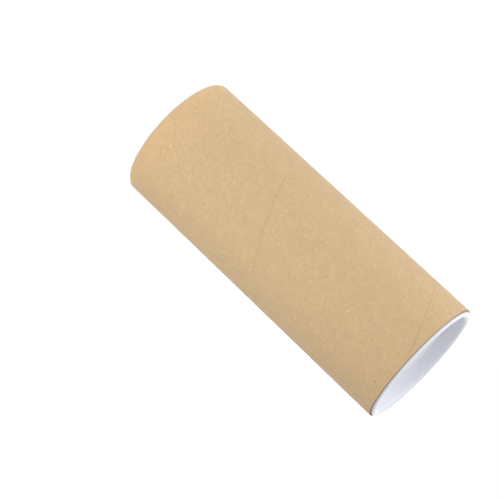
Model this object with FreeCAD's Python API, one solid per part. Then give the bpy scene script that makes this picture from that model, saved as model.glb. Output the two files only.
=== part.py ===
"""Cardboard mailing tube with two push-in plastic end caps, standing on end.

One spirally wound kraft board tube carries a white plug cap in each end. The caps pull straight off.
Millimetres. +Z runs up the tube's axis, and the origin is the centre of the ring it stands on.
"""
import FreeCAD
import Part

import math
import os

# Board tube
TUBE_LENGTH = 131.0
TUBE_BORE = 50.0
TUBE_WALL = 2.0
EDGE_BREAK = 0.25  # the cut board's worn outer and inner edges

# Spiral butt seam of the outer ply
SEAM_PITCH = 73.0
SEAM_WIDTH = 0.5
SEAM_DEPTH = 0.15
SEAM_AT_BASE = 31.0  # degrees round from +X at the tube's lower end

# Cap flange, the rim that covers the board's end
FLANGE_THICKNESS = 1.05
FLANGE_SETBACK = 0.65  # how far the rim stays inside the tube's outer face
FLANGE_TOP_ROUND = 0.4
FLANGE_UNDER_ROUND = 0.3
LIP_ROUND = 1.7  # how the rim rolls over into the recess
MIN_RIM_FLAT = 0.6  # the least flat ring left between the two rounds

# Cap plug, the cup that is pushed into the bore
PLUG_CLEARANCE = 0.05  # radial, at the two grip beads
PLUG_WALL = 1.35
BEAD_COUNT = 2
BEAD_HEIGHT = 0.2
BEAD_WIDTH = 1.1
BEAD_CREST = 0.4  # the flat at the top of each bead
LEAD_IN = 0.7  # chamfer at the plug's inner end

# Cap recess, the hollow that faces outwards
RECESS_DEPTH = 5.75
RECESS_DRAFT = 0.45  # how much smaller in radius the recess is at its floor
RECESS_FILLET = 0.45
WEB_THICKNESS = 1.25
CHANNEL_WIDTH = 6.45  # the low ring of the floor, between the wall and the raised panel
PANEL_RISE = 0.55
PANEL_EDGE_ROUND = 0.35

bore_radius = TUBE_BORE / 2
outer_radius = bore_radius + TUBE_WALL
tube_bottom = FLANGE_THICKNESS
tube_top = tube_bottom + TUBE_LENGTH
total_height = tube_top + FLANGE_THICKNESS
axis_point = FreeCAD.Vector(0, 0, 0)
axis_up = FreeCAD.Vector(0, 0, 1)


def corner_arc(centre, radius, start_degrees, end_degrees):
    """An arc in the XZ half plane, from one angle to another, through the angle midway."""
    points = []
    for degrees in (start_degrees, (start_degrees + end_degrees) / 2, end_degrees):
        angle = math.radians(degrees)
        points.append(FreeCAD.Vector(
            centre[0] + radius * math.cos(angle), 0, centre[1] + radius * math.sin(angle)))
    return Part.Arc(*points).toShape()


def outline_face(pieces):
    """A flat face from (r, z) points and arcs in order. Straight edges fill the gaps between them."""
    edges = []
    first = None
    last = None
    for piece in pieces:
        if isinstance(piece, tuple):
            start = end = FreeCAD.Vector(piece[0], 0, piece[1])
            edge = None
        else:
            start, end = piece.firstVertex(True).Point, piece.lastVertex(True).Point
            edge = piece
        if last is not None and last.distanceToPoint(start) > 1e-6:
            edges.append(Part.LineSegment(last, start).toShape())
        if edge is not None:
            edges.append(edge)
        first = start if first is None else first
        last = end
    edges.append(Part.LineSegment(last, first).toShape())
    return Part.Face(Part.Wire(edges))


def turned(pieces):
    """The solid that an (r, z) outline sweeps round the Z axis."""
    return outline_face(pieces).revolve(axis_point, axis_up, 360)


def seam_cutter():
    """A thin wedge wound round the tube, which opens the outer ply's spiral seam."""
    root = outer_radius - SEAM_DEPTH
    rim = outer_radius + 2 * SEAM_DEPTH  # the wedge stands clear of the board
    rim_width = SEAM_WIDTH * (rim - root) / SEAM_DEPTH
    overrun = 2 * rim_width  # and starts and ends clear of it
    section = Part.makePolygon([
        FreeCAD.Vector(root, 0, 0),
        FreeCAD.Vector(rim, 0, rim_width / 2),
        FreeCAD.Vector(rim, 0, -rim_width / 2),
        FreeCAD.Vector(root, 0, 0),
    ])
    helix = Part.makeHelix(SEAM_PITCH, TUBE_LENGTH + 2 * overrun, outer_radius)
    wedge = Part.Wire(helix.Edges).makePipeShell([section], True, True)
    wedge.rotate(axis_point, axis_up, SEAM_AT_BASE - 360 * overrun / SEAM_PITCH)
    wedge.translate(FreeCAD.Vector(0, 0, tube_bottom - overrun))
    return wedge


def cardboard_tube():
    """The wound board tube, with its edges broken and the seam open on its outer face."""
    tube = turned([
        (bore_radius + EDGE_BREAK, tube_bottom),
        (outer_radius - EDGE_BREAK, tube_bottom),
        (outer_radius, tube_bottom + EDGE_BREAK),
        (outer_radius, tube_top - EDGE_BREAK),
        (outer_radius - EDGE_BREAK, tube_top),
        (bore_radius + EDGE_BREAK, tube_top),
        (bore_radius, tube_top - EDGE_BREAK),
        (bore_radius, tube_bottom + EDGE_BREAK),
    ])
    return tube.cut(seam_cutter())


def end_cap():
    """One plug cap, with its flange's seat at z = 0 and its recess opening upwards."""
    bead_radius = bore_radius - PLUG_CLEARANCE
    skirt_radius = bead_radius - BEAD_HEIGHT
    recess_radius = skirt_radius - PLUG_WALL
    floor_radius = recess_radius - RECESS_DRAFT
    flange_radius = outer_radius - FLANGE_SETBACK
    floor = FLANGE_THICKNESS - RECESS_DEPTH
    underside = floor - WEB_THICKNESS
    panel = floor + PANEL_RISE
    panel_radius = floor_radius - CHANNEL_WIDTH
    top_round = min(FLANGE_TOP_ROUND, 0.6 * FLANGE_THICKNESS)
    under_round = min(FLANGE_UNDER_ROUND, 0.3 * FLANGE_THICKNESS)
    lip_round = min(LIP_ROUND, flange_radius - top_round - MIN_RIM_FLAT - recess_radius)
    panel_round = min(PANEL_EDGE_ROUND, 0.9 * PANEL_RISE)

    outline = [(0, underside), (skirt_radius - LEAD_IN, underside), (skirt_radius, underside + LEAD_IN)]
    bead_spacing = (underside + LEAD_IN) / BEAD_COUNT
    for bead in reversed(range(BEAD_COUNT)):
        middle = bead_spacing * (bead + 0.5)
        outline += [
            (skirt_radius, middle - BEAD_WIDTH / 2),
            (bead_radius, middle - BEAD_CREST / 2),
            (bead_radius, middle + BEAD_CREST / 2),
            (skirt_radius, middle + BEAD_WIDTH / 2),
        ]
    outline += [
        (skirt_radius, 0),
        corner_arc((flange_radius - under_round, under_round), under_round, -90, 0),
        corner_arc((flange_radius - top_round, FLANGE_THICKNESS - top_round), top_round, 0, 90),
        corner_arc((recess_radius + lip_round, FLANGE_THICKNESS - lip_round), lip_round, 90, 180),
        corner_arc((floor_radius - RECESS_FILLET, floor + RECESS_FILLET), RECESS_FILLET, 0, -90),
        (panel_radius, floor),
        corner_arc((panel_radius - panel_round, panel - panel_round), panel_round, 0, 90),
        (0, panel),
    ]
    return turned(outline)


def top_cap():
    """The cap in the upper end, seated on the tube."""
    cap = end_cap()
    cap.translate(FreeCAD.Vector(0, 0, tube_top))
    return cap


def bottom_cap():
    """The cap in the lower end, turned over so that its recess opens downwards."""
    cap = end_cap()
    cap.rotate(axis_point, FreeCAD.Vector(1, 0, 0), 180)
    cap.translate(FreeCAD.Vector(0, 0, tube_bottom))
    return cap


def main():
    os.makedirs("parts", exist_ok=True)
    nodes = {
        "cardboard_tube": cardboard_tube(),
        "top_cap": top_cap(),
        "bottom_cap": bottom_cap(),
    }
    for name, shape in nodes.items():
        shape.exportStep(f"parts/{name}.step")
        box = shape.optimalBoundingBox(False)
        print(f"{name}: {len(shape.Solids)} solid, valid {shape.isValid()}, {shape.Volume / 1000:.2f} cm3, "
              f"z {box.ZMin:.2f} to {box.ZMax:.2f}, radius {box.XMax:.2f}")
    print(f"overall height {total_height:.1f} mm")


main()
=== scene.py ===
"""Dresses the cardboard mailing tube: a spirally wound kraft wall with a white plug cap in each end.

Metres throughout, in the part's own frame: +Z runs up the tube's axis, and z = 0 is the surface that it
stands on.
"""
from __future__ import annotations

import logging
import math
from dataclasses import dataclass
from enum import Enum

import bmesh
import bpy
from mathutils import Matrix, Quaternion, Vector, noise


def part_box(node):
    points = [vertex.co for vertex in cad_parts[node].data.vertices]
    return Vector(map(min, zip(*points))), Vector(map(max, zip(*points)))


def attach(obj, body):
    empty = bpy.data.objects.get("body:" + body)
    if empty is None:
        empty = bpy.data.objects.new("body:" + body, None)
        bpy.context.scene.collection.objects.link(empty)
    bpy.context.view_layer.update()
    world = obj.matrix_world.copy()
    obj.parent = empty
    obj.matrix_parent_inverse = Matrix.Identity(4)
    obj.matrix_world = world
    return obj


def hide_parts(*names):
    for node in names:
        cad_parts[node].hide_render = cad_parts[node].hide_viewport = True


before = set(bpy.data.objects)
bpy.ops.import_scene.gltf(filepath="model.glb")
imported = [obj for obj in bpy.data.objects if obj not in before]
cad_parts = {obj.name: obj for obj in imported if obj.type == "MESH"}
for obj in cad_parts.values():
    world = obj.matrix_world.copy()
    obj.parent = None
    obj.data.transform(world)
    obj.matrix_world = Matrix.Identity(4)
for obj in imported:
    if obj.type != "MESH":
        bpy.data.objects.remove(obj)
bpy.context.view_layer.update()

MM = 0.001
PHOTO_SIDE_PX = 500

log = logging.getLogger("mailing_tube")

Colour = tuple[float, float, float]
WHITE: Colour = (1.0, 1.0, 1.0)
Outline = list[tuple[float, float]]


class CapEnd(Enum):
    """The end of the tube that a cap closes."""

    TOP = "top"
    BOTTOM = "bottom"


class BoardFace(Enum):
    """The material index of each kind of surface on the wound board."""

    OUTER_PLY = 0
    CUT_EDGE = 1
    BORE_PLY = 2


# Mesh building


def arc(centre: tuple[float, float], radius: float, start: float, end: float, chords: int = 6) -> Outline:
    """Points along a round stretch of an outline.

    Args:
        centre: The arc's centre, as radius and height.
        radius: The arc's own radius.
        start: The angle of the first point, in degrees.
        end: The angle of the last point, in degrees.
        chords: How many chords the arc has.

    Returns:
        The points from start to end.
    """
    angles = [math.radians(start + (end - start) * i / chords) for i in range(chords + 1)]
    return [(centre[0] + radius * math.cos(a), centre[1] + radius * math.sin(a)) for a in angles]


def with_guards(outline: Outline, guard: float) -> Outline:
    """Adds a point close to each end of an outline's long straights, to keep them flat under smooth shading.

    Args:
        outline: The (radius, height) points in order.
        guard: How far from each corner the added point lies.

    Returns:
        The outline with its added points.
    """
    guarded = [outline[0]]
    for (r0, z0), (r1, z1) in zip(outline, outline[1:]):
        length = math.hypot(r1 - r0, z1 - z0)
        if length > 4 * guard:
            share = guard / length
            guarded.append((r0 + (r1 - r0) * share, z0 + (z1 - z0) * share))
            guarded.append((r1 - (r1 - r0) * share, z1 - (z1 - z0) * share))
        guarded.append((r1, z1))
    return guarded


def ring_faces(rings: int, segments: int, first: int = 0) -> list[tuple[int, int, int, int]]:
    """The four-sided faces between rings of points, each ring numbered round before the next.

    Args:
        rings: How many rings there are.
        segments: How many points each ring has.
        first: The number of the first ring's first point.

    Returns:
        The faces, ring by ring.
    """
    faces = []
    for k in range(rings - 1):
        low = first + k * segments
        high = low + segments
        for i in range(segments):
            j = (i + 1) % segments
            faces.append((low + i, low + j, high + j, high + i))
    return faces


def turned_mesh(name: str, outline: Outline, segments: int) -> bpy.types.Mesh:
    """The closed surface that an outline from axis to axis sweeps round Z.

    Args:
        name: The new mesh's name.
        outline: The (radius, height) points, with the first and the last on the axis.
        segments: How many steps go round the axis.

    Returns:
        The mesh, smooth shaded.
    """
    low, *rings, high = outline
    turns = [2 * math.pi * i / segments for i in range(segments)]
    points = [(0.0, 0.0, low[1])]
    for radius, height in rings:
        points += [(radius * math.cos(t), radius * math.sin(t), height) for t in turns]
    points.append((0.0, 0.0, high[1]))
    faces = ring_faces(len(rings), segments, 1)
    last = 1 + (len(rings) - 1) * segments
    for i in range(segments):
        j = (i + 1) % segments
        faces.append((0, 1 + j, 1 + i))
        faces.append((last + i, last + j, len(points) - 1))
    mesh = bpy.data.meshes.new(name)
    mesh.from_pydata(points, [], faces)
    mesh.shade_smooth()
    return mesh


def placed(name: str, mesh: bpy.types.Mesh, materials: list[bpy.types.Material]) -> bpy.types.Object:
    """Puts a mesh in the scene as an object with its materials.

    Args:
        name: The new object's name.
        mesh: The mesh, already where it belongs.
        materials: The materials, in the order of their indices.

    Returns:
        The new object.
    """
    piece = bpy.data.objects.new(name, mesh)
    for material in materials:
        mesh.materials.append(material)
    bpy.context.scene.collection.objects.link(piece)
    return piece


def ease(low: float, high: float, value: float) -> float:
    """0 below low, 1 above high, and an even S curve between them."""
    share = min(max((value - low) / (high - low), 0.0), 1.0)
    return share * share * (3 - 2 * share)


def direction(azimuth: float, elevation: float) -> Vector:
    """The unit vector towards a place round the tube, from degrees round from +X and degrees up."""
    a, e = math.radians(azimuth), math.radians(elevation)
    return Vector((math.cos(a) * math.cos(e), math.sin(a) * math.cos(e), math.sin(e)))


# Shader building


class NodeSheet:
    """A node tree with short calls for placing nodes and joining them."""

    def __init__(self, tree: bpy.types.NodeTree) -> None:
        """Takes the tree that the nodes go into."""
        self.tree = tree

    def feed(self, socket: bpy.types.NodeSocket, value: object) -> None:
        """Links a socket to another, or sets its constant.

        Args:
            socket: The input that is fed.
            value: An output socket, a number, or a colour or vector of three numbers.
        """
        if isinstance(value, bpy.types.NodeSocket):
            self.tree.links.new(value, socket)
        elif isinstance(value, tuple) and len(socket.default_value) == 4:
            socket.default_value = (*value, 1.0)
        else:
            socket.default_value = value

    def place_on_piece(self) -> bpy.types.NodeSocket:
        """Each point's place in the piece's own coordinates, which move with it."""
        return self.node("ShaderNodeTexCoord").outputs["Object"]

    def node(self, kind: str, settings: dict[str, object] | None = None, **inputs: object) -> bpy.types.Node:
        """Places a node.

        Args:
            kind: The node's type, such as ShaderNodeBump.
            settings: Attributes of the node itself.
            **inputs: Values or sockets for its inputs, with _ for each space in a name.

        Returns:
            The new node.
        """
        made = self.tree.nodes.new(kind)
        for key, value in (settings or {}).items():
            setattr(made, key, value)
        for key, value in inputs.items():
            self.feed(made.inputs[key.replace("_", " ")], value)
        return made

    def math(self, operation: str, *values: object) -> bpy.types.NodeSocket:
        """The result of a Math node.

        Args:
            operation: The node's operation, such as MULTIPLY.
            *values: Numbers or sockets for its inputs.

        Returns:
            The result's socket.
        """
        made = self.node("ShaderNodeMath", {"operation": operation})
        for socket, value in zip(made.inputs, values):
            self.feed(socket, value)
        return made.outputs[0]

    def vector(self, operation: str, *values: object) -> bpy.types.NodeSocket:
        """The result of a Vector Math node.

        Args:
            operation: The node's operation, such as ADD.
            *values: Vectors or sockets for its inputs.

        Returns:
            The result's socket.
        """
        made = self.node("ShaderNodeVectorMath", {"operation": operation})
        for socket, value in zip(made.inputs, values):
            self.feed(socket, value)
        return made.outputs["Value" if operation == "LENGTH" else "Vector"]

    def spread(self, value: object, low: object, high: object, to_low: object = 0.0,
               to_high: object = 1.0) -> bpy.types.NodeSocket:
        """Maps a value from one range to another, easing in and out at the ends.

        Args:
            value: What is mapped.
            low: Where the first range starts.
            high: Where the first range ends.
            to_low: The result at low and below.
            to_high: The result at high and above.

        Returns:
            The mapped value's socket.
        """
        made = self.node("ShaderNodeMapRange", {"interpolation_type": "SMOOTHSTEP"})
        for socket, number in zip(made.inputs, (value, low, high, to_low, to_high)):
            self.feed(socket, number)
        return made.outputs[0]

    def toned(self, colour: Colour, tone: bpy.types.NodeSocket) -> bpy.types.NodeSocket:
        """A colour made lighter or darker all through by a factor."""
        made = self.node("ShaderNodeVectorMath", {"operation": "SCALE"}, Scale=tone)
        made.inputs[0].default_value = colour
        return made.outputs[0]


class Effect:
    """A shader node group with named sockets, built once and placed wherever a material needs it."""

    name = "effect"
    inputs: dict[str, tuple[str, float | None]] = {}
    outputs: dict[str, str] = {}

    def group(self) -> bpy.types.ShaderNodeTree:
        """The node group, made at its first use."""
        if self.name in bpy.data.node_groups:
            return bpy.data.node_groups[self.name]
        tree = bpy.data.node_groups.new(self.name, "ShaderNodeTree")
        for label, (kind, default) in self.inputs.items():
            socket = tree.interface.new_socket(name=label, in_out="INPUT", socket_type=kind)
            if default is not None:
                socket.default_value = default
        for label, kind in self.outputs.items():
            tree.interface.new_socket(name=label, in_out="OUTPUT", socket_type=kind)
        sheet = NodeSheet(tree)
        results = self.build(sheet, tree.nodes.new("NodeGroupInput").outputs)
        end = tree.nodes.new("NodeGroupOutput")
        for label, socket in results.items():
            tree.links.new(socket, end.inputs[label])
        return tree

    def build(self, sheet: NodeSheet, given: bpy.types.NodeOutputs) -> dict[str, bpy.types.NodeSocket]:
        """Fills the group.

        Args:
            sheet: The group's own node tree.
            given: The sockets that carry the group's inputs.

        Returns:
            The socket for each of the group's outputs.
        """
        raise NotImplementedError

    def place(self, sheet: NodeSheet, **inputs: object) -> bpy.types.NodeOutputs:
        """Places the group in a material.

        Args:
            sheet: The material's node tree.
            **inputs: Values or sockets for the group's inputs.

        Returns:
            The placed group's outputs, by name.
        """
        return sheet.node("ShaderNodeGroup", {"node_tree": self.group()}, **inputs).outputs


class Mottle(Effect):
    """Soft uneven patches, such as paper's thicker and thinner places."""

    name = "mottle"
    inputs = {"Vector": ("NodeSocketVector", None), "Size": ("NodeSocketFloat", 0.01)}
    outputs = {"Value": "NodeSocketFloat"}

    def build(self, sheet: NodeSheet, given: bpy.types.NodeOutputs) -> dict[str, bpy.types.NodeSocket]:
        """Noise of a few octaves, from -1 to 1.

        Args:
            sheet: The group's own node tree.
            given: The place, and the size of a patch.

        Returns:
            The value's socket.
        """
        scale = sheet.math("DIVIDE", 1.0, given["Size"])
        grain = sheet.node("ShaderNodeTexNoise", Vector=given["Vector"], Scale=scale,
                           Detail=3.0, Roughness=0.55)
        return {"Value": sheet.spread(grain.outputs["Fac"], 0.25, 0.75, -1.0, 1.0)}


class Fibre(Effect):
    """Matted fibres or fine scratches, drawn out along the first coordinate."""

    name = "fibre"
    inputs = {
        "Vector": ("NodeSocketVector", None),
        "Length": ("NodeSocketFloat", 0.002),
        "Width": ("NodeSocketFloat", 0.0004),
        "Turn": ("NodeSocketFloat", 0.0),
    }
    outputs = {"Value": "NodeSocketFloat"}
    bend_scale = 260.0
    bend_reach = 1.2 * MM
    depth_scale = 1000.0

    def build(self, sheet: NodeSheet, given: bpy.types.NodeOutputs) -> dict[str, bpy.types.NodeSocket]:
        """Stretched noise that bends a little, from -1 to 1.

        Args:
            sheet: The group's own node tree.
            given: The place, a fibre's length and width, and how far the fibres are turned.

        Returns:
            The value's socket.
        """
        turned = sheet.node("ShaderNodeVectorRotate", {"rotation_type": "Z_AXIS"},
                            Vector=given["Vector"], Angle=given["Turn"]).outputs[0]
        bend = sheet.node("ShaderNodeTexNoise", Vector=turned, Scale=self.bend_scale, Detail=1.0)
        centred = sheet.vector("SUBTRACT", bend.outputs["Color"], (0.5, 0.5, 0.5))
        reach = (self.bend_reach, self.bend_reach, 0.0)
        bent = sheet.vector("MULTIPLY_ADD", centred, reach, turned)
        shape = sheet.node("ShaderNodeCombineXYZ", X=sheet.math("DIVIDE", 1.0, given["Length"]),
                           Y=sheet.math("DIVIDE", 1.0, given["Width"]), Z=self.depth_scale).outputs[0]
        drawn = sheet.vector("MULTIPLY", bent, shape)
        grain = sheet.node("ShaderNodeTexNoise", Vector=drawn, Scale=1.0, Detail=2.5, Roughness=0.6)
        return {"Value": sheet.spread(grain.outputs["Fac"], 0.25, 0.75, -1.0, 1.0)}


class Fleck(Effect):
    """A few small flecks, each in its own cell, as in paper pulp."""

    name = "fleck"
    inputs = {
        "Vector": ("NodeSocketVector", None),
        "Spacing": ("NodeSocketFloat", 0.003),
        "Size": ("NodeSocketFloat", 0.0003),
        "Share": ("NodeSocketFloat", 0.2),
    }
    outputs = {"Mask": "NodeSocketFloat"}
    ragged_scale = 1500.0
    ragged_reach = 0.6 * MM

    def build(self, sheet: NodeSheet, given: bpy.types.NodeOutputs) -> dict[str, bpy.types.NodeSocket]:
        """Ragged spots in some of the cells of a Voronoi texture, each of its own size and strength.

        Args:
            sheet: The group's own node tree.
            given: The place, the cells' spacing, the radius of a fleck and the share of cells that hold one.

        Returns:
            The mask's socket.
        """
        ragged = sheet.node("ShaderNodeTexNoise", Vector=given["Vector"], Scale=self.ragged_scale, Detail=1.0)
        centred = sheet.vector("SUBTRACT", ragged.outputs["Color"], (0.5, 0.5, 0.5))
        reach = (self.ragged_reach, self.ragged_reach, 0.0)
        warped = sheet.vector("MULTIPLY_ADD", centred, reach, given["Vector"])
        scale = sheet.math("DIVIDE", 1.0, given["Spacing"])
        cells = sheet.node("ShaderNodeTexVoronoi", Vector=warped, Scale=scale)
        chance = sheet.node("ShaderNodeSeparateColor", Color=cells.outputs["Color"]).outputs
        radius = sheet.math("MULTIPLY", sheet.math("DIVIDE", given["Size"], given["Spacing"]),
                            sheet.math("MULTIPLY_ADD", chance["Green"], 0.85, 0.45))
        inner = sheet.math("MULTIPLY", radius, 0.35)
        spot = sheet.spread(cells.outputs["Distance"], inner, radius, 1.0, 0.0)
        chosen = sheet.math("LESS_THAN", chance["Red"], given["Share"])
        strength = sheet.math("MULTIPLY_ADD", chance["Blue"], 0.65, 0.35)
        return {"Mask": sheet.math("MULTIPLY", sheet.math("MULTIPLY", spot, chosen), strength)}


MOTTLE = Mottle()
FIBRE = Fibre()
FLECK = Fleck()


class FinishSheet(NodeSheet):
    """A new material with its Principled BSDF joined to the output."""

    def __init__(self, name: str) -> None:
        """Makes the material under that name."""
        self.material = bpy.data.materials.new(name)
        self.material.use_nodes = True
        super().__init__(self.material.node_tree)
        self.tree.nodes.clear()
        self.shader = self.node("ShaderNodeBsdfPrincipled")
        self.node("ShaderNodeOutputMaterial", Surface=self.shader.outputs[0])

    def roughen(self, height: bpy.types.NodeSocket, depth: float, strength: float = 1.0) -> None:
        """Bumps the surface.

        Args:
            height: The relief, from about -1 to 1.
            depth: How far a step of 1 stands out, in metres.
            strength: The share of the bump that shows.
        """
        bump = self.node("ShaderNodeBump", Strength=strength, Distance=depth, Height=height)
        self.feed(self.shader.inputs["Normal"], bump.outputs[0])


# Finishes


@dataclass(frozen=True)
class FibreSet:
    """How one layer of fibres lies in paper."""

    length: float
    width: float
    turn: float
    shade: float

    def place(self, sheet: NodeSheet, where: bpy.types.NodeSocket) -> bpy.types.NodeSocket:
        """The layer's relief and tone, from -1 to 1."""
        layer = FIBRE.place(sheet, Vector=where, Length=self.length, Width=self.width, Turn=self.turn)
        return layer["Value"]


@dataclass(frozen=True)
class FleckSet:
    """How one kind of fleck is strewn through paper."""

    spacing: float
    size: float
    share: float
    shade: float
    shift: tuple[float, float, float] = (0.0, 0.0, 0.0)

    def place(self, sheet: NodeSheet, where: bpy.types.NodeSocket) -> bpy.types.NodeSocket:
        """The flecks' mask, from 0 to 1."""
        moved = sheet.vector("ADD", where, self.shift)
        flecks = FLECK.place(sheet, Vector=moved, Spacing=self.spacing, Size=self.size, Share=self.share)
        return flecks["Mask"]


@dataclass(frozen=True)
class KraftPaper:
    """Uncoated brown kraft paper, wound as one strip whose edges meet at an open seam."""

    name: str
    radius: float
    bottom: float
    seam_pitch: float
    seam_at_base: float
    colour: Colour = (0.69, 0.482, 0.26)
    roughness: float = 0.65
    roughness_spread: float = 0.04
    specular: float = 0.5
    sheen: float = 0.2
    sheen_roughness: float = 0.4
    seam_width: float = 0.5 * MM
    # darkening in the seam's groove: partly glue, partly painted shadow
    seam_glue_and_shadow: float = 0.07
    seam_patch: float = 9 * MM
    lip_shade: float = 0.02
    mottle_size: float = 8 * MM
    mottle_shade: float = 0.026
    cloud_size: float = 3.2 * MM
    cloud_shade: float = 0.028
    speckle_size: float = 1.1 * MM
    speckle_shade: float = 0.042
    fibres: FibreSet = FibreSet(2.0 * MM, 0.55 * MM, 0.0, 0.045)
    cross_fibres: FibreSet = FibreSet(1.6 * MM, 0.45 * MM, 1.15, 0.045)
    dark_flecks: FleckSet = FleckSet(3.4 * MM, 0.5 * MM, 0.28, 0.42)
    pale_flecks: FleckSet = FleckSet(2.7 * MM, 0.55 * MM, 0.26, 0.2, (0.31, 0.17, 0.0))
    relief: float = 0.02 * MM

    def on_strip(self, sheet: FinishSheet) -> tuple[bpy.types.NodeSocket, bpy.types.NodeSocket]:
        """Where a point lies on the wound strip, as if it were unrolled.

        Args:
            sheet: The material's node tree.

        Returns:
            A vector of the distances along and across the strip, and the distance across alone.
        """
        helix = math.atan2(self.seam_pitch, 2 * math.pi * self.radius)
        width = self.seam_pitch * math.cos(helix)
        length_per_turn = 2 * math.pi * self.radius * math.cos(helix)
        place = sheet.node("ShaderNodeSeparateXYZ", Vector=sheet.place_on_piece()).outputs
        bearing = sheet.math("ARCTAN2", place["Y"], place["X"])
        turn = sheet.math("SUBTRACT", bearing, math.radians(self.seam_at_base))
        around = sheet.math("MULTIPLY", turn, self.radius)
        height = sheet.math("SUBTRACT", place["Z"], self.bottom)
        slid = sheet.math("SUBTRACT", sheet.math("MULTIPLY", height, math.cos(helix)),
                          sheet.math("MULTIPLY", around, math.sin(helix)))
        strips = sheet.math("FLOOR", sheet.math("DIVIDE", slid, width))
        across = sheet.math("SUBTRACT", slid, sheet.math("MULTIPLY", strips, width))
        along = sheet.math("ADD", sheet.math("MULTIPLY", around, math.cos(helix)),
                           sheet.math("MULTIPLY", height, math.sin(helix)))
        unrolled = sheet.math("MULTIPLY_ADD", strips, length_per_turn, along)
        return sheet.node("ShaderNodeCombineXYZ", X=unrolled, Y=across).outputs[0], across

    def seam_tone(self, sheet: FinishSheet, across: bpy.types.NodeSocket) -> bpy.types.NodeSocket:
        """The paper's tone at the seam: darker in the groove from glue and painted shadow, paler on one lip.

        Args:
            sheet: The material's node tree.
            across: The distance across the strip from its lower edge.

        Returns:
            A factor for the paper's colour, 1 away from the seam.
        """
        width = self.seam_pitch * math.cos(math.atan2(self.seam_pitch, 2 * math.pi * self.radius))
        half = self.seam_width / 2
        nearest = sheet.math("MINIMUM", across, sheet.math("SUBTRACT", width, across))
        uneven = MOTTLE.place(sheet, Vector=sheet.place_on_piece(), Size=self.seam_patch)["Value"]
        # the groove's darkening, patchy along the seam: partly glue, partly painted shadow
        depth = sheet.math("MULTIPLY_ADD", uneven, 0.6 * self.seam_glue_and_shadow, self.seam_glue_and_shadow)
        gap = sheet.spread(nearest, 0.2 * half, 2.2 * half, 1.0, 0.0)
        lip = sheet.spread(across, half, 4 * half, self.lip_shade, 0.0)
        return sheet.math("SUBTRACT", sheet.math("ADD", lip, 1.0), sheet.math("MULTIPLY", gap, depth))

    def material(self) -> bpy.types.Material:
        """The material: mottled, fibrous and flecked along its strip."""
        sheet = FinishSheet(self.name)
        strip, across = self.on_strip(sheet)
        mottle = MOTTLE.place(sheet, Vector=strip, Size=self.mottle_size)["Value"]
        clouds = MOTTLE.place(sheet, Vector=strip, Size=self.cloud_size)["Value"]
        speckle = MOTTLE.place(sheet, Vector=strip, Size=self.speckle_size)["Value"]
        fibres = self.fibres.place(sheet, strip)
        crossing = self.cross_fibres.place(sheet, strip)
        dark = self.dark_flecks.place(sheet, strip)
        pale = self.pale_flecks.place(sheet, strip)
        tone = self.seam_tone(sheet, across)
        for share, value in ((self.mottle_shade, mottle), (self.cloud_shade, clouds),
                             (self.speckle_shade, speckle), (self.fibres.shade, fibres),
                             (self.cross_fibres.shade, crossing), (-self.dark_flecks.shade, dark),
                             (self.pale_flecks.shade, pale)):
            tone = sheet.math("MULTIPLY_ADD", value, share, tone)
        sheet.feed(sheet.shader.inputs["Base Color"], sheet.toned(self.colour, tone))
        roughness = sheet.math("MULTIPLY_ADD", mottle, self.roughness_spread, self.roughness)
        sheet.feed(sheet.shader.inputs["Roughness"], roughness)
        sheet.shader.inputs["Specular IOR Level"].default_value = self.specular
        sheet.shader.inputs["Sheen Weight"].default_value = self.sheen
        sheet.shader.inputs["Sheen Roughness"].default_value = self.sheen_roughness
        sheet.roughen(sheet.math("MULTIPLY_ADD", crossing, 0.6, fibres), self.relief)
        return sheet.material


@dataclass(frozen=True)
class CutBoard:
    """The cut end of the wound board: ring after ring of brown plies with darker glue lines, its brown partly
    painted shade.
    """

    name: str = "cut_board"
    # darker than the face ply: partly the cut board's own tone, partly painted shade of the crevice under a
    # cap's flange
    colour: Colour = (0.52, 0.39, 0.26)
    ply_thickness: float = 0.36 * MM
    glue_shade: float = 0.22
    tear_size: float = 0.9 * MM
    tear_shade: float = 0.08
    roughness: float = 0.93
    specular: float = 0.2
    relief: float = 0.06 * MM

    def material(self) -> bpy.types.Material:
        """The material, ringed by each point's distance from the tube's axis."""
        sheet = FinishSheet(self.name)
        place = sheet.place_on_piece()
        torn = MOTTLE.place(sheet, Vector=place, Size=self.tear_size)["Value"]
        radius = sheet.vector("LENGTH", sheet.vector("MULTIPLY", place, (1.0, 1.0, 0.0)))
        wavy = sheet.math("MULTIPLY_ADD", torn, 0.05 * MM, radius)
        ring = sheet.math("PINGPONG", wavy, self.ply_thickness / 2)
        glue = sheet.spread(ring, 0.0, 0.16 * self.ply_thickness, 1.0, 0.0)
        glued = sheet.math("MULTIPLY_ADD", glue, -self.glue_shade, 1.0)
        tone = sheet.math("MULTIPLY_ADD", torn, self.tear_shade, glued)
        sheet.feed(sheet.shader.inputs["Base Color"], sheet.toned(self.colour, tone))
        sheet.shader.inputs["Roughness"].default_value = self.roughness
        sheet.shader.inputs["Specular IOR Level"].default_value = self.specular
        sheet.roughen(tone, self.relief)
        return sheet.material


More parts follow.
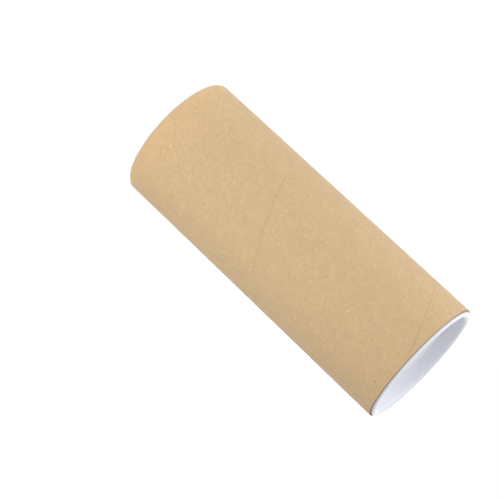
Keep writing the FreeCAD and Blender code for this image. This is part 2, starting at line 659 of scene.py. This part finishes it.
@dataclass(frozen=True)
class WhitePolythene:
    """Satin white moulded polythene, slightly cool and a little milky at its edges."""

    name: str = "white_polythene"
    colour: Colour = (0.848, 0.857, 0.925)
    roughness: float = 0.42
    milkiness: float = 0.15
    milk_depth: float = 1.2 * MM
    patch_size: float = 7 * MM
    patch_shade: float = 0.008
    grain_size: float = 0.35 * MM
    grain: float = 0.005 * MM
    rub_length: float = 6 * MM
    rub_width: float = 0.25 * MM
    rub_turn: float = 0.7

    def material(self) -> bpy.types.Material:
        """The material: even in colour, with a fine moulded grain and light rubbing marks."""
        sheet = FinishSheet(self.name)
        place = sheet.place_on_piece()
        patches = MOTTLE.place(sheet, Vector=place, Size=self.patch_size)["Value"]
        texture = MOTTLE.place(sheet, Vector=place, Size=self.grain_size)["Value"]
        rubs = FIBRE.place(sheet, Vector=place, Length=self.rub_length, Width=self.rub_width,
                           Turn=self.rub_turn)
        rubbed = rubs["Value"]
        tone = sheet.math("MULTIPLY_ADD", patches, self.patch_shade, 1.0)
        sheet.feed(sheet.shader.inputs["Base Color"], sheet.toned(self.colour, tone))
        worn = sheet.math("MULTIPLY_ADD", sheet.spread(rubbed, 0.35, 0.95), 0.08, self.roughness)
        sheet.feed(sheet.shader.inputs["Roughness"], sheet.math("MULTIPLY_ADD", patches, 0.03, worn))
        sheet.shader.inputs["Subsurface Weight"].default_value = self.milkiness
        sheet.shader.inputs["Subsurface Radius"].default_value = (1.0, 1.0, 1.15)
        sheet.shader.inputs["Subsurface Scale"].default_value = self.milk_depth
        sheet.roughen(sheet.math("MULTIPLY_ADD", rubbed, 0.4, texture), self.grain)
        return sheet.material


# The board tube


@dataclass
class WoundTube:
    """The board tube: its outer ply wound as one strip, with an open butt seam, cut ends and a bore."""

    bottom: float
    top: float
    outer_radius: float
    bore_radius: float = 25.0 * MM
    edge_break: float = 0.25 * MM
    seam_pitch: float = 73.0 * MM
    seam_at_base: float = 31.0  # degrees round from +X at the tube's lower end
    seam_width: float = 0.5 * MM
    seam_depth: float = 0.08 * MM
    lip_lift: float = 0.02 * MM
    unevenness: float = 0.03 * MM
    bore_seam_at_base: float = 205.0
    steps_per_turn: int = 360
    row_spacing: float = 1.3 * MM
    end_segments: int = 720
    bore_rows: int = 6
    name: str = "wound_board_tube"

    @property
    def rise(self) -> float:
        """The seam's angle from level, in radians."""
        return math.atan2(self.seam_pitch, 2 * math.pi * self.outer_radius)

    @property
    def strip_width(self) -> float:
        """The outer ply's width, square to the seam."""
        return self.seam_pitch * math.cos(self.rise)

    def strip_rows(self) -> list[float]:
        """Distances across the strip, close together at both seam edges and even between them."""
        half = self.seam_width / 2
        near = [0.0, 0.35 * half, 0.7 * half, half, 1.4 * half, 2.2 * half, 3.6 * half, 6 * half]
        width = self.strip_width - 2 * near[-1]
        count = round(width / self.row_spacing)
        middle = [near[-1] + width * i / count for i in range(1, count)]
        return near + middle + [self.strip_width - d for d in reversed(near)]

    def radius_at(self, turn: float, height: float) -> float:
        """The outer face's radius at a place on it.

        Args:
            turn: The angle round from +X, in radians.
            height: The height above the tube's lower end.

        Returns:
            The true radius with the seam's groove, its lifted lip and the board's slight unevenness.
        """
        around = self.outer_radius * (turn - math.radians(self.seam_at_base))
        across = (height * math.cos(self.rise) - around * math.sin(self.rise)) % self.strip_width
        nearest = min(across, self.strip_width - across)
        place = Vector((math.cos(turn), math.sin(turn), height / self.outer_radius))
        half = self.seam_width / 2 * (1 + 0.35 * noise.noise(place * 4.1 + Vector((9.0, 2.0, 5.0))))
        depth = self.seam_depth * (1 + 0.4 * noise.noise(place * 2.6 + Vector((3.0, 8.0, 1.0))))
        opened = 1 - ease(0.1 * half, 1.3 * half, nearest)
        lip = self.lip_lift * (1 - ease(half, 2.2 * MM, across))
        uneven = noise.noise(place * 2.2) + 0.35 * noise.noise(place * 7.0 + Vector((4.0, 1.0, 7.0)))
        return self.outer_radius + (self.unevenness * uneven + lip) * (1 - opened) - depth * opened

    def outer_wall(self) -> bmesh.types.BMesh:
        """The outer face, woven along its strip past both ends and then cut off square."""
        rows = self.strip_rows()[:-1]
        per_step = self.seam_pitch / self.steps_per_turn
        overrun = 3 * MM
        first = -math.ceil((self.seam_pitch + overrun) / per_step)
        last = math.ceil((self.top - self.bottom + overrun) / per_step)
        wall = bmesh.new()
        grid = {}
        for i in range(first, last + self.steps_per_turn + 1):
            turn = 2 * math.pi * i / self.steps_per_turn + math.radians(self.seam_at_base)
            for j, across in enumerate(rows):
                height = per_step * i + across / math.cos(self.rise)
                radius = self.radius_at(turn, height)
                point = (radius * math.cos(turn), radius * math.sin(turn), self.bottom + height)
                grid[i, j] = wall.verts.new(point)
        for i in range(first, last):
            for j in range(len(rows)):
                above = (0, j + 1) if j + 1 < len(rows) else (self.steps_per_turn, 0)
                wall.faces.new((grid[i, j], grid[i + 1, j], grid[i + 1 + above[0], above[1]],
                                grid[i + above[0], above[1]]))
        for height, up in ((self.bottom + self.edge_break, -1), (self.top - self.edge_break, 1)):
            everything = [*wall.verts, *wall.edges, *wall.faces]
            bmesh.ops.bisect_plane(wall, geom=everything, dist=1e-8, plane_co=(0, 0, height),
                                   plane_no=(0, 0, up), clear_outer=True)
        bmesh.ops.delete(wall, geom=[v for v in wall.verts if not v.link_faces], context="VERTS")
        for face in wall.faces:
            face.material_index = BoardFace.OUTER_PLY.value
        return wall

    def inner_outline(self) -> tuple[Outline, list[BoardFace]]:
        """The outline from the top's outer edge over the cut end, down the bore and out along the bottom.

        Returns:
            The (radius, height) points, and the kind of surface between each point and the next.
        """
        broken = self.edge_break
        inner = self.bore_radius + broken
        outer = self.outer_radius - broken
        top = arc((outer, self.top - broken), broken, 0, 90, 3)
        top += arc((inner, self.top - broken), broken, 90, 180, 3)
        bottom = arc((inner, self.bottom + broken), broken, 180, 270, 3)
        bottom += arc((outer, self.bottom + broken), broken, 270, 360, 3)
        top = with_guards(top, 0.1 * MM)
        bottom = with_guards(bottom, 0.1 * MM)
        low, high = bottom[0][1], top[-1][1]
        steps = range(1, self.bore_rows)
        bore = [(self.bore_radius, high + (low - high) * i / self.bore_rows) for i in steps]
        faces = [BoardFace.CUT_EDGE] * (len(top) - 1)
        faces += [BoardFace.BORE_PLY] * self.bore_rows
        faces += [BoardFace.CUT_EDGE] * (len(bottom) - 1)
        return top + bore + bottom, faces

    def add_ends_and_bore(self, wall: bmesh.types.BMesh) -> None:
        """Adds the cut ends and the bore, with the seam's notch in the ends' outer edges."""
        outline, kinds = self.inner_outline()
        rim = 0.5 * (self.bore_radius + self.outer_radius)
        verts = []
        for radius, height in outline:
            for i in range(self.end_segments):
                turn = 2 * math.pi * i / self.end_segments
                notch = 0.0
                if radius > rim:
                    notch = self.radius_at(turn, height - self.bottom) - self.outer_radius
                share = ease(rim, self.outer_radius - self.edge_break, radius)
                true = radius + notch * share
                verts.append(wall.verts.new((true * math.cos(turn), true * math.sin(turn), height)))
        for number, face in enumerate(ring_faces(len(outline), self.end_segments)):
            made = wall.faces.new([verts[i] for i in face])
            made.material_index = kinds[number // self.end_segments].value

    def build(self) -> bpy.types.Object:
        """The tube as one piece that stands for the CAD tube."""
        wall = self.outer_wall()
        self.add_ends_and_bore(wall)
        mesh = bpy.data.meshes.new(self.name)
        wall.to_mesh(mesh)
        wall.free()
        mesh.shade_smooth()
        outside = KraftPaper("kraft_outer_ply", self.outer_radius, self.bottom, self.seam_pitch,
                             self.seam_at_base)
        inside = KraftPaper("kraft_bore_ply", self.bore_radius, self.bottom, self.seam_pitch,
                            self.bore_seam_at_base, colour=(0.63, 0.44, 0.25), lip_shade=0.0)
        tube = placed(self.name, mesh, [outside.material(), CutBoard().material(), inside.material()])
        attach(tube, "tube")
        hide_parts("cardboard_tube")
        return tube


# The plug caps


@dataclass
class PlugCap:
    """A moulded plug cap: a flange over the board's end, a plug in the bore and a recess facing outwards."""

    seat: float
    end: CapEnd
    body: str
    node: str
    flange_thickness: float = 1.05 * MM
    flange_radius: float = 26.35 * MM
    flange_top_round: float = 0.4 * MM
    lip_round: float = 1.7 * MM
    flange_under_round: float = 0.3 * MM
    skirt_radius: float = 24.75 * MM
    bead_radius: float = 24.95 * MM
    bead_width: float = 1.1 * MM
    bead_crest: float = 0.4 * MM
    bead_heights: tuple[float, ...] = (-3.9375 * MM, -1.3125 * MM)
    lead_in: float = 0.7 * MM
    underside: float = -5.95 * MM
    recess_radius: float = 23.4 * MM
    floor_radius: float = 22.95 * MM
    floor: float = -4.7 * MM
    floor_fillet: float = 0.45 * MM
    panel_radius: float = 16.5 * MM
    panel: float = -4.15 * MM
    panel_edge_round: float = 0.35 * MM
    segments: int = 256

    def plug_outline(self) -> Outline:
        """The plug from the axis at its underside, over the chamfer and past the grip beads to the seat."""
        outline = [(0.0, self.underside), (self.skirt_radius - self.lead_in, self.underside)]
        outline.append((self.skirt_radius, self.underside + self.lead_in))
        for middle in self.bead_heights:
            outline.append((self.skirt_radius, middle - self.bead_width / 2))
            outline.append((self.bead_radius, middle - self.bead_crest / 2))
            outline.append((self.bead_radius, middle + self.bead_crest / 2))
            outline.append((self.skirt_radius, middle + self.bead_width / 2))
        outline.append((self.skirt_radius, 0.0))
        return outline

    def flange_outline(self) -> Outline:
        """The flange from its underside round its outer edge and over its top to the recess."""
        under = self.flange_under_round
        over = self.flange_top_round
        crown = self.flange_thickness - over
        outline = arc((self.flange_radius - under, under), under, -90, 0, 4)
        outline += arc((self.flange_radius - over, crown), over, 0, 90, 8)
        lip = self.lip_round
        return outline + arc((self.recess_radius + lip, self.flange_thickness - lip), lip, 90, 180, 14)

    def recess_outline(self) -> Outline:
        """The recess from the foot of its wall over the channel and the raised panel to the axis."""
        fillet = self.floor_fillet
        edge = self.panel_edge_round
        outline = arc((self.floor_radius - fillet, self.floor + fillet), fillet, 0, -90, 6)
        outline.append((self.panel_radius, self.floor))
        outline += arc((self.panel_radius - edge, self.panel - edge), edge, 0, 90, 6)
        outline.append((0.0, self.panel))
        return outline

    def build(self, material: bpy.types.Material) -> bpy.types.Object:
        """Builds the cap in its end of the tube.

        Args:
            material: The white plastic that both caps share.

        Returns:
            The cap's piece.
        """
        outline = with_guards(self.plug_outline() + self.flange_outline() + self.recess_outline(), 0.08 * MM)
        name = f"plug_cap_{self.end.value}"
        mesh = turned_mesh(name, outline, self.segments)
        if self.end is CapEnd.BOTTOM:
            mesh.transform(Matrix.Rotation(math.pi, 4, "X"))
        mesh.transform(Matrix.Translation((0.0, 0.0, self.seat)))
        cap = placed(name, mesh, [material])
        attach(cap, self.body)
        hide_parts(self.node)
        return cap


# The studio


@dataclass
class SoftLamp:
    """A soft lamp, as wide and as high as its panel, aimed at the tube."""

    name: str
    azimuth: float  # degrees round from +X
    elevation: float
    distance: float
    width: float
    height: float
    power: float
    aim: tuple[float, float, float] = (0.0, 0.0, 67.0 * MM)

    def build(self) -> bpy.types.Object:
        """Hangs the lamp."""
        data = bpy.data.lights.new(self.name, "AREA")
        data.shape = "RECTANGLE"
        data.size = self.width
        data.size_y = self.height
        data.energy = self.power
        lamp = bpy.data.objects.new(self.name, data)
        away = direction(self.azimuth, self.elevation)
        lamp.location = Vector(self.aim) + away * self.distance
        lamp.rotation_mode = "QUATERNION"
        lamp.rotation_quaternion = (-away).to_track_quat("-Z", "Y")
        lamp.visible_camera = False
        bpy.context.scene.collection.objects.link(lamp)
        return lamp


@dataclass
class Studio:
    """A white surround that is dimmer overhead, soft lamps round the tube, and a bright white floor."""

    horizon: float = 0.386
    overhead: float = 0.345
    floor_half: float = 15.0
    floor_albedo: float = 0.5
    # painted light: the floor glows within these reaches of the tube's foot, only in the light that reaches
    # the tube
    painted_pool_glow: float = 0.2
    pool_reach: float = 160.0 * MM
    painted_foot_glow: float = 0.36
    foot_reach: float = 60.0 * MM
    lamps: tuple[SoftLamp, ...] = (
        SoftLamp("front_lamp", 308.0, 8.0, 1.4, 0.8, 0.8, 4.39),
        SoftLamp("strip_lamp", 308.0, 0.4, 1.4, 0.8, 0.14, 1.86),
        SoftLamp("side_lamp", 212.0, 16.0, 0.4, 0.24, 0.19, 0.45, (0.0, 0.0, 128.0 * MM)),
        SoftLamp("high_side_lamp", 222.0, 60.0, 0.6, 0.3, 0.3, 1.21, (0.0, 0.0, 120.0 * MM)),
        SoftLamp("low_front_lamp", 290.0, 2.0, 0.3, 0.15, 0.15, 0.177, (0.0, 0.0, 20.0 * MM)),
        SoftLamp("low_side_lamp", 10.0, 3.0, 0.2, 0.1, 0.1, 0.1, (0.0, 0.0, 15.0 * MM)),
        SoftLamp("back_lamp", 128.0, 8.0, 1.4, 0.8, 0.8, 3.0),
        SoftLamp("back_side_lamp", 60.0, 8.0, 1.4, 0.8, 0.8, 1.5),
    )

    def seen_directly(self, sheet: NodeSheet) -> bpy.types.NodeSocket:
        """1 for rays from the camera, a reflection or a transmission, and 0 for light on the tube."""
        path = sheet.node("ShaderNodeLightPath").outputs
        return sheet.math("MAXIMUM", path["Is Camera Ray"],
                          sheet.math("MAXIMUM", path["Is Glossy Ray"], path["Is Transmission Ray"]))

    def build_surround(self) -> None:
        """Lights the tube evenly from all round, and looks plain white itself."""
        world = bpy.data.worlds.new("white_surround")
        bpy.context.scene.world = world
        world.use_nodes = True
        world.node_tree.nodes.clear()
        sheet = NodeSheet(world.node_tree)
        towards = sheet.node("ShaderNodeTexCoord").outputs["Generated"]
        upward = sheet.node("ShaderNodeSeparateXYZ", Vector=towards).outputs["Z"]
        share = sheet.math("MULTIPLY", upward, upward)
        lit = sheet.math("MULTIPLY_ADD", share, self.overhead - self.horizon, self.horizon)
        to_white = sheet.math("MULTIPLY", self.seen_directly(sheet), sheet.math("SUBTRACT", 1.0, lit))
        strength = sheet.math("ADD", lit, to_white)
        glow = sheet.node("ShaderNodeBackground", Color=WHITE, Strength=strength)
        sheet.node("ShaderNodeOutputWorld", Surface=glow.outputs[0])

    def build_floor(self) -> bpy.types.Object:
        """Lays the floor, which keeps the tube's soft shadow, isn't seen from below and glows near the foot
        as painted light.
        """
        mesh = bpy.data.meshes.new("studio_floor")
        half = self.floor_half
        corners = [(-half, -half, 0), (half, -half, 0), (half, half, 0), (-half, half, 0)]
        mesh.from_pydata(corners, [], [(0, 1, 2, 3)])
        material = bpy.data.materials.new("studio_floor")
        material.use_nodes = True
        material.node_tree.nodes.clear()
        sheet = NodeSheet(material.node_tree)
        seen_glow = 1.0 - self.floor_albedo * (self.horizon + self.overhead) / 2
        from_foot = sheet.vector("LENGTH", sheet.place_on_piece())
        # painted pool of light round the tube's foot, seen only in the light that reaches the tube
        pool = sheet.spread(from_foot, 0.0, self.pool_reach, self.painted_pool_glow, 0.0)
        foot = sheet.spread(from_foot, 0.0, self.foot_reach, self.painted_foot_glow, 0.0)
        painted_glow_near_foot = sheet.math("ADD", pool, foot)
        to_seen = sheet.math("MULTIPLY", self.seen_directly(sheet), sheet.math("SUBTRACT", seen_glow, painted_glow_near_foot))
        glow_level = sheet.math("ADD", painted_glow_near_foot, to_seen)
        matt = sheet.node("ShaderNodeBsdfDiffuse", Color=(self.floor_albedo,) * 3)
        glow = sheet.node("ShaderNodeEmission", Color=WHITE, Strength=glow_level)
        white = sheet.node("ShaderNodeAddShader")
        sheet.feed(white.inputs[0], matt.outputs[0])
        sheet.feed(white.inputs[1], glow.outputs[0])
        clear = sheet.node("ShaderNodeBsdfTransparent")
        camera_ray = sheet.node("ShaderNodeLightPath").outputs["Is Camera Ray"]
        below = sheet.math("MULTIPLY", sheet.node("ShaderNodeNewGeometry").outputs["Backfacing"], camera_ray)
        chosen = sheet.node("ShaderNodeMixShader", Fac=below)
        sheet.feed(chosen.inputs[1], white.outputs[0])
        sheet.feed(chosen.inputs[2], clear.outputs[0])
        sheet.node("ShaderNodeOutputMaterial", Surface=chosen.outputs[0])
        floor = placed("studio_floor", mesh, [material])
        return floor

    def build(self) -> None:
        """Sets up the surround, the floor and the lamps, with plain view settings."""
        bpy.context.scene.view_settings.view_transform = "Standard"
        self.build_surround()
        self.build_floor()
        for lamp in self.lamps:
            lamp.build()


@dataclass
class PhotoCamera:
    """A camera where the photo was taken from, rolled so that the standing tube lies at its slant."""

    aim: tuple[float, float, float] = (9.955 * MM, 8.564 * MM, 53.74 * MM)
    azimuth: float = -49.295
    elevation: float = 15.6705
    distance: float = 603.455 * MM
    roll: float = 133.569
    focal_px: float = 1555.97
    sensor_mm: float = 36.0

    def build(self) -> bpy.types.Object:
        """Places the camera and makes it the scene's own."""
        data = bpy.data.cameras.new("photo_camera")
        data.sensor_fit = "HORIZONTAL"
        data.sensor_width = self.sensor_mm
        data.lens = self.focal_px / PHOTO_SIDE_PX * self.sensor_mm
        data.clip_start = 0.01
        data.clip_end = 60.0
        camera = bpy.data.objects.new("photo_camera", data)
        back = direction(self.azimuth, self.elevation)
        camera.location = Vector(self.aim) + back * self.distance
        camera.rotation_mode = "QUATERNION"
        level = (-back).to_track_quat("-Z", "Y")
        camera.rotation_quaternion = level @ Quaternion((0.0, 0.0, 1.0), math.radians(self.roll))
        bpy.context.scene.collection.objects.link(camera)
        bpy.context.scene.camera = camera
        return camera


def main() -> None:
    """Builds the camera, the studio and the tube's three pieces, and reports each piece."""
    logging.basicConfig(level=logging.INFO, format="%(message)s")
    PhotoCamera().build()
    Studio().build()

    low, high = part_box("cardboard_tube")
    tube = WoundTube(bottom=low.z, top=high.z, outer_radius=27.0 * MM)
    plastic = WhitePolythene().material()
    caps = (
        PlugCap(seat=high.z, end=CapEnd.TOP, body="upper_cap", node="top_cap"),
        PlugCap(seat=low.z, end=CapEnd.BOTTOM, body="lower_cap", node="bottom_cap"),
    )
    pieces = [tube.build()] + [cap.build(plastic) for cap in caps]
    for piece in pieces:
        log.info("%s: %d faces", piece.name, len(piece.data.polygons))


if __name__ == "__main__":
    main()
